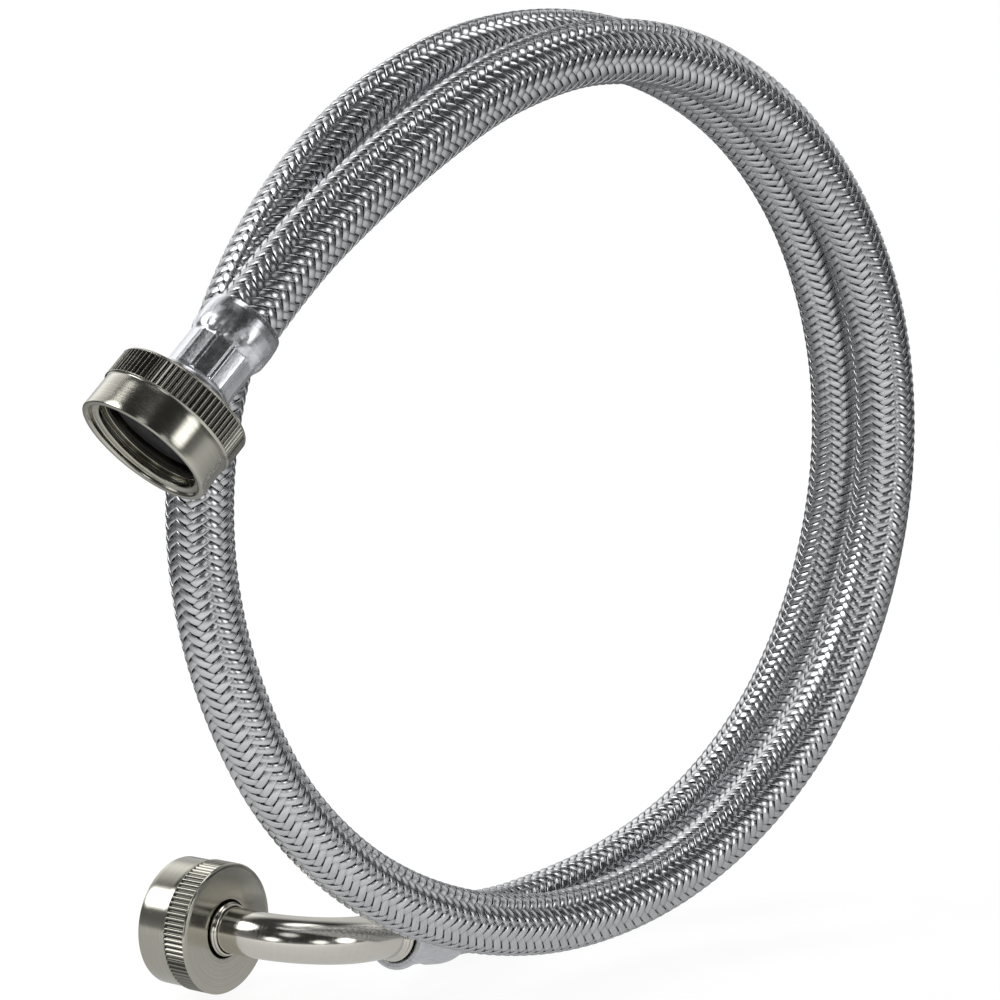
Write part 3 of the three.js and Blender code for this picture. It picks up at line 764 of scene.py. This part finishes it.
# ------------------------------------------------------------------ the elbow's bent tube
def build_elbow_tube():
    """One closed body: out along the outside of the bend, back along its bore."""
    start = ELBOW_MOUTH + ELBOW_AXIS * (SEAT + 0.2)
    bend_in = CORNER - ELBOW_AXIS * ELBOW_BEND_R
    bend_out = CORNER - INFLOW * ELBOW_BEND_R
    middle = bend_in - INFLOW * ELBOW_BEND_R
    straight = np.linalg.norm(bend_in - start)
    bend_end = straight + ELBOW_BEND_R * math.pi / 2
    rim_s = bend_end + ELBOW_REACH - ELBOW_BEND_R
    total = rim_s + INSERT_LENGTH
    square = np.cross(ELBOW_AXIS, INFLOW)

    def centre_at(s):
        """Centre and the outward vector in the bend's plane."""
        if s <= straight:
            return start + ELBOW_AXIS * s, INFLOW
        if s <= bend_end:
            angle = (s - straight) / ELBOW_BEND_R
            out = INFLOW * math.cos(angle) + ELBOW_AXIS * math.sin(angle)
            return middle + out * ELBOW_BEND_R, out
        return bend_out - INFLOW * (s - bend_end), ELBOW_AXIS

    visible_s = np.concatenate([np.linspace(0, rim_s - 4.2, 78),
                                np.linspace(rim_s - 4.0, rim_s + 2.0, 54)])
    past_rim = visible_s - rim_s
    # two thin rolled rings, side by side, then the shoulder under the ferrule's rim
    visible_r = (ELBOW_R + 0.42 * np.exp(-((past_rim + 2.75) / 0.30) ** 4)
                 + 0.62 * np.exp(-((past_rim + 1.75) / 0.36) ** 4)
                 + 0.95 * smooth01((past_rim + 1.35) / 0.4) * smooth01((-0.25 - past_rim) / 0.25))
    hidden = [(ELBOW_R - 0.2, 2.2)] + barbs(2.2, INSERT_LENGTH - 0.8)
    # (distance, radius)
    outline = (list(zip(visible_s, visible_r)) + [(rim_s + y, r) for r, y in hidden]
               + [(total, WATERWAY_R + 0.2)]
               + [(s, WATERWAY_R) for s in np.linspace(total, 0, 70)])
    around = 96
    phi = TAU * np.arange(around) / around
    rings = []
    for s, r in outline:
        centre, out = centre_at(s)
        rings.append(centre + (r * np.cos(phi))[:, None] * out
                     + (r * np.sin(phi))[:, None] * square)
    along = path_lengths(*np.array(outline).T)
    # the short closing face at the mouth gets 2 mm of v
    ob = loft("elbow_tube_bent", np.array(rings), np.append(along, along[-1] + 2.0), MAT_ELBOW)
    place(ob, "elbow_end", "elbow_tube")


build_nipple()
build_elbow_tube()


# ------------------------------------------------------------------ floor, light and camera
scene = bpy.context.scene
scene.view_settings.view_transform = "Standard"
scene.view_settings.look = "None"

# the camera's axes; it looks along -BACK
RIGHT = (0.81915, -0.57358, 0.0)
UP = (0.08949, 0.12780, 0.98775)
BACK = (-0.56655, -0.80912, 0.15602)
EYE = (-348.229, -495.340, 212.667)     # before OFFSET
WHITE = (1, 1, 1, 1)


def floor_material():
    mat, shader, bsdf = new_material("pale_floor")
    position = shader.node("NewGeometry").outputs["Position"]
    ray = shader.node("LightPath")
    grain = shader.noise(position, scale=60.0, detail=3.0)
    tone = shader.mix(shader.remap(grain, reads=MID), (0.13, 0.13, 0.13), (0.15, 0.15, 0.15))
    shader.fill(bsdf, {"Base Color": tone, "Roughness": 0.9, "Specular IOR Level": 0.0})
    # what the camera sees: a glowing floor that fades to white with distance, in metres
    glow = shader.node("Emission", {"Color": WHITE, "Strength": 0.92})
    lit = shader.node("AddShader", {0: bsdf.outputs[0], 1: glow.outputs[0]})
    white = shader.node("Emission")
    distance = shader.node("VectorMath", {0: position}, operation="LENGTH").outputs["Value"]
    faded = shader.node("MixShader", {0: shader.remap(distance, reads=(0.25, 0.8)),
                                      1: lit.outputs[0], 2: white.outputs[0]})
    # what the metal sees of the floor: bright towards the camera, greyer behind the coil
    nearness = shader.dot(position, (BACK[0], BACK[1], 0.0))
    pool = shader.math("MULTIPLY",
                       shader.remap(nearness, reads=(-0.15, 0.20), gives=(0.26, 0.95)),
                       shader.remap(distance, reads=(0.30, 0.90), gives=(1.0, 0.18)))
    bounce = shader.node("Emission", {"Strength": pool})
    both = shader.node("MixShader", {0: ray.outputs["Is Camera Ray"], 1: bounce.outputs[0],
                                     2: faded.outputs[0]})
    shader.fill(shader.output, {0: both.outputs[0]})
    return mat


def build_floor():
    """A disc of three rings round a centre point, at the foot of the CAD."""
    mat = floor_material()
    floor_z = cad_lo.z / MM
    around, radii = 96, (400, 1500, 9000)
    co = [[0, 0, floor_z]] + [
        [radius * math.cos(TAU * k / around), radius * math.sin(TAU * k / around), floor_z]
        for radius in radii for k in range(around)]
    tris = [[0, 1 + k, 1 + (k + 1) % around] for k in range(around)]
    quads = []
    for ring in range(len(radii) - 1):
        inner, outer = 1 + ring * around, 1 + (ring + 1) * around
        quads += [[inner + k, outer + k, outer + (k + 1) % around, inner + (k + 1) % around]
                  for k in range(around)]
    make_mesh("floor", np.array(co, float), mat, quads, tris=tris)


# soft round patches of light: direction along the camera's right, up and back axes,
# inner and outer angle in degrees, strength
LIGHT_PATCHES = [
    ((-0.75, 0.62, 0.20), 9, 19, 6.0), ((-0.56, 0.61, -0.57), 14, 30, 0.85),
    ((0.0, 0.1, -1.0), 40, 66, 0.6), ((0.84, 0.13, 0.53), 5, 14, 3.0),
    ((-0.10, 0.50, 0.85), 4, 12, 0.9), ((-0.93, -0.05, 0.30), 15, 40, 0.12),
    ((0.75, 0.62, -0.20), 8, 26, 0.8), ((0.15, 0.98, 0.13), 7, 17, 3.0),
    ((-0.45, 0.04, 0.89), 4, 11, 2.0), ((0.45, 0.02, 0.89), 4, 11, 1.6)]


def build_world():
    """White to the camera; to everything else a dim sky, paler below, with patches of light."""
    world = bpy.data.worlds.new("studio")
    scene.world = world
    shader = Shader(world, "OutputWorld")
    ray = shader.node("LightPath")
    direction = shader.node("TexCoord").outputs["Generated"]
    height = shader.node("SeparateXYZ", {0: direction}).outputs["Z"]
    total = shader.remap(height, reads=(-0.15, 0.15), gives=(0.25, 0.035))
    for weights, inner, outer, strength in LIGHT_PATCHES:
        aim = unit(sum(w * np.array(axis) for w, axis in zip(weights, (RIGHT, UP, BACK))))
        edges = math.cos(math.radians(outer)), math.cos(math.radians(inner))
        patch = shader.remap(shader.dot(direction, tuple(aim)), reads=edges,
                             gives=(0.0, strength), interpolation_type="SMOOTHSTEP")
        total = shader.math("ADD", total, patch)
    soft = shader.node("Background", {"Color": WHITE, "Strength": total})
    white = shader.node("Background", {"Color": WHITE, "Strength": 1.0})
    mixed = shader.node("MixShader", {0: ray.outputs["Is Camera Ray"], 1: soft.outputs[0],
                                      2: white.outputs[0]})
    shader.fill(shader.output, {0: mixed.outputs[0]})


def build_camera():
    eye = (np.array(EYE) + OFFSET) * MM
    data = bpy.data.cameras.new("camera")
    data.sensor_width = 36.0
    data.lens = 93.6
    data.clip_start, data.clip_end = 0.01, 100
    camera = bpy.data.objects.new("camera", data)
    rows = [[RIGHT[k], UP[k], BACK[k], eye[k]] for k in range(3)]
    camera.matrix_world = Matrix(rows + [[0, 0, 0, 1]])
    scene.collection.objects.link(camera)
    scene.camera = camera


build_floor()
build_world()
build_camera()
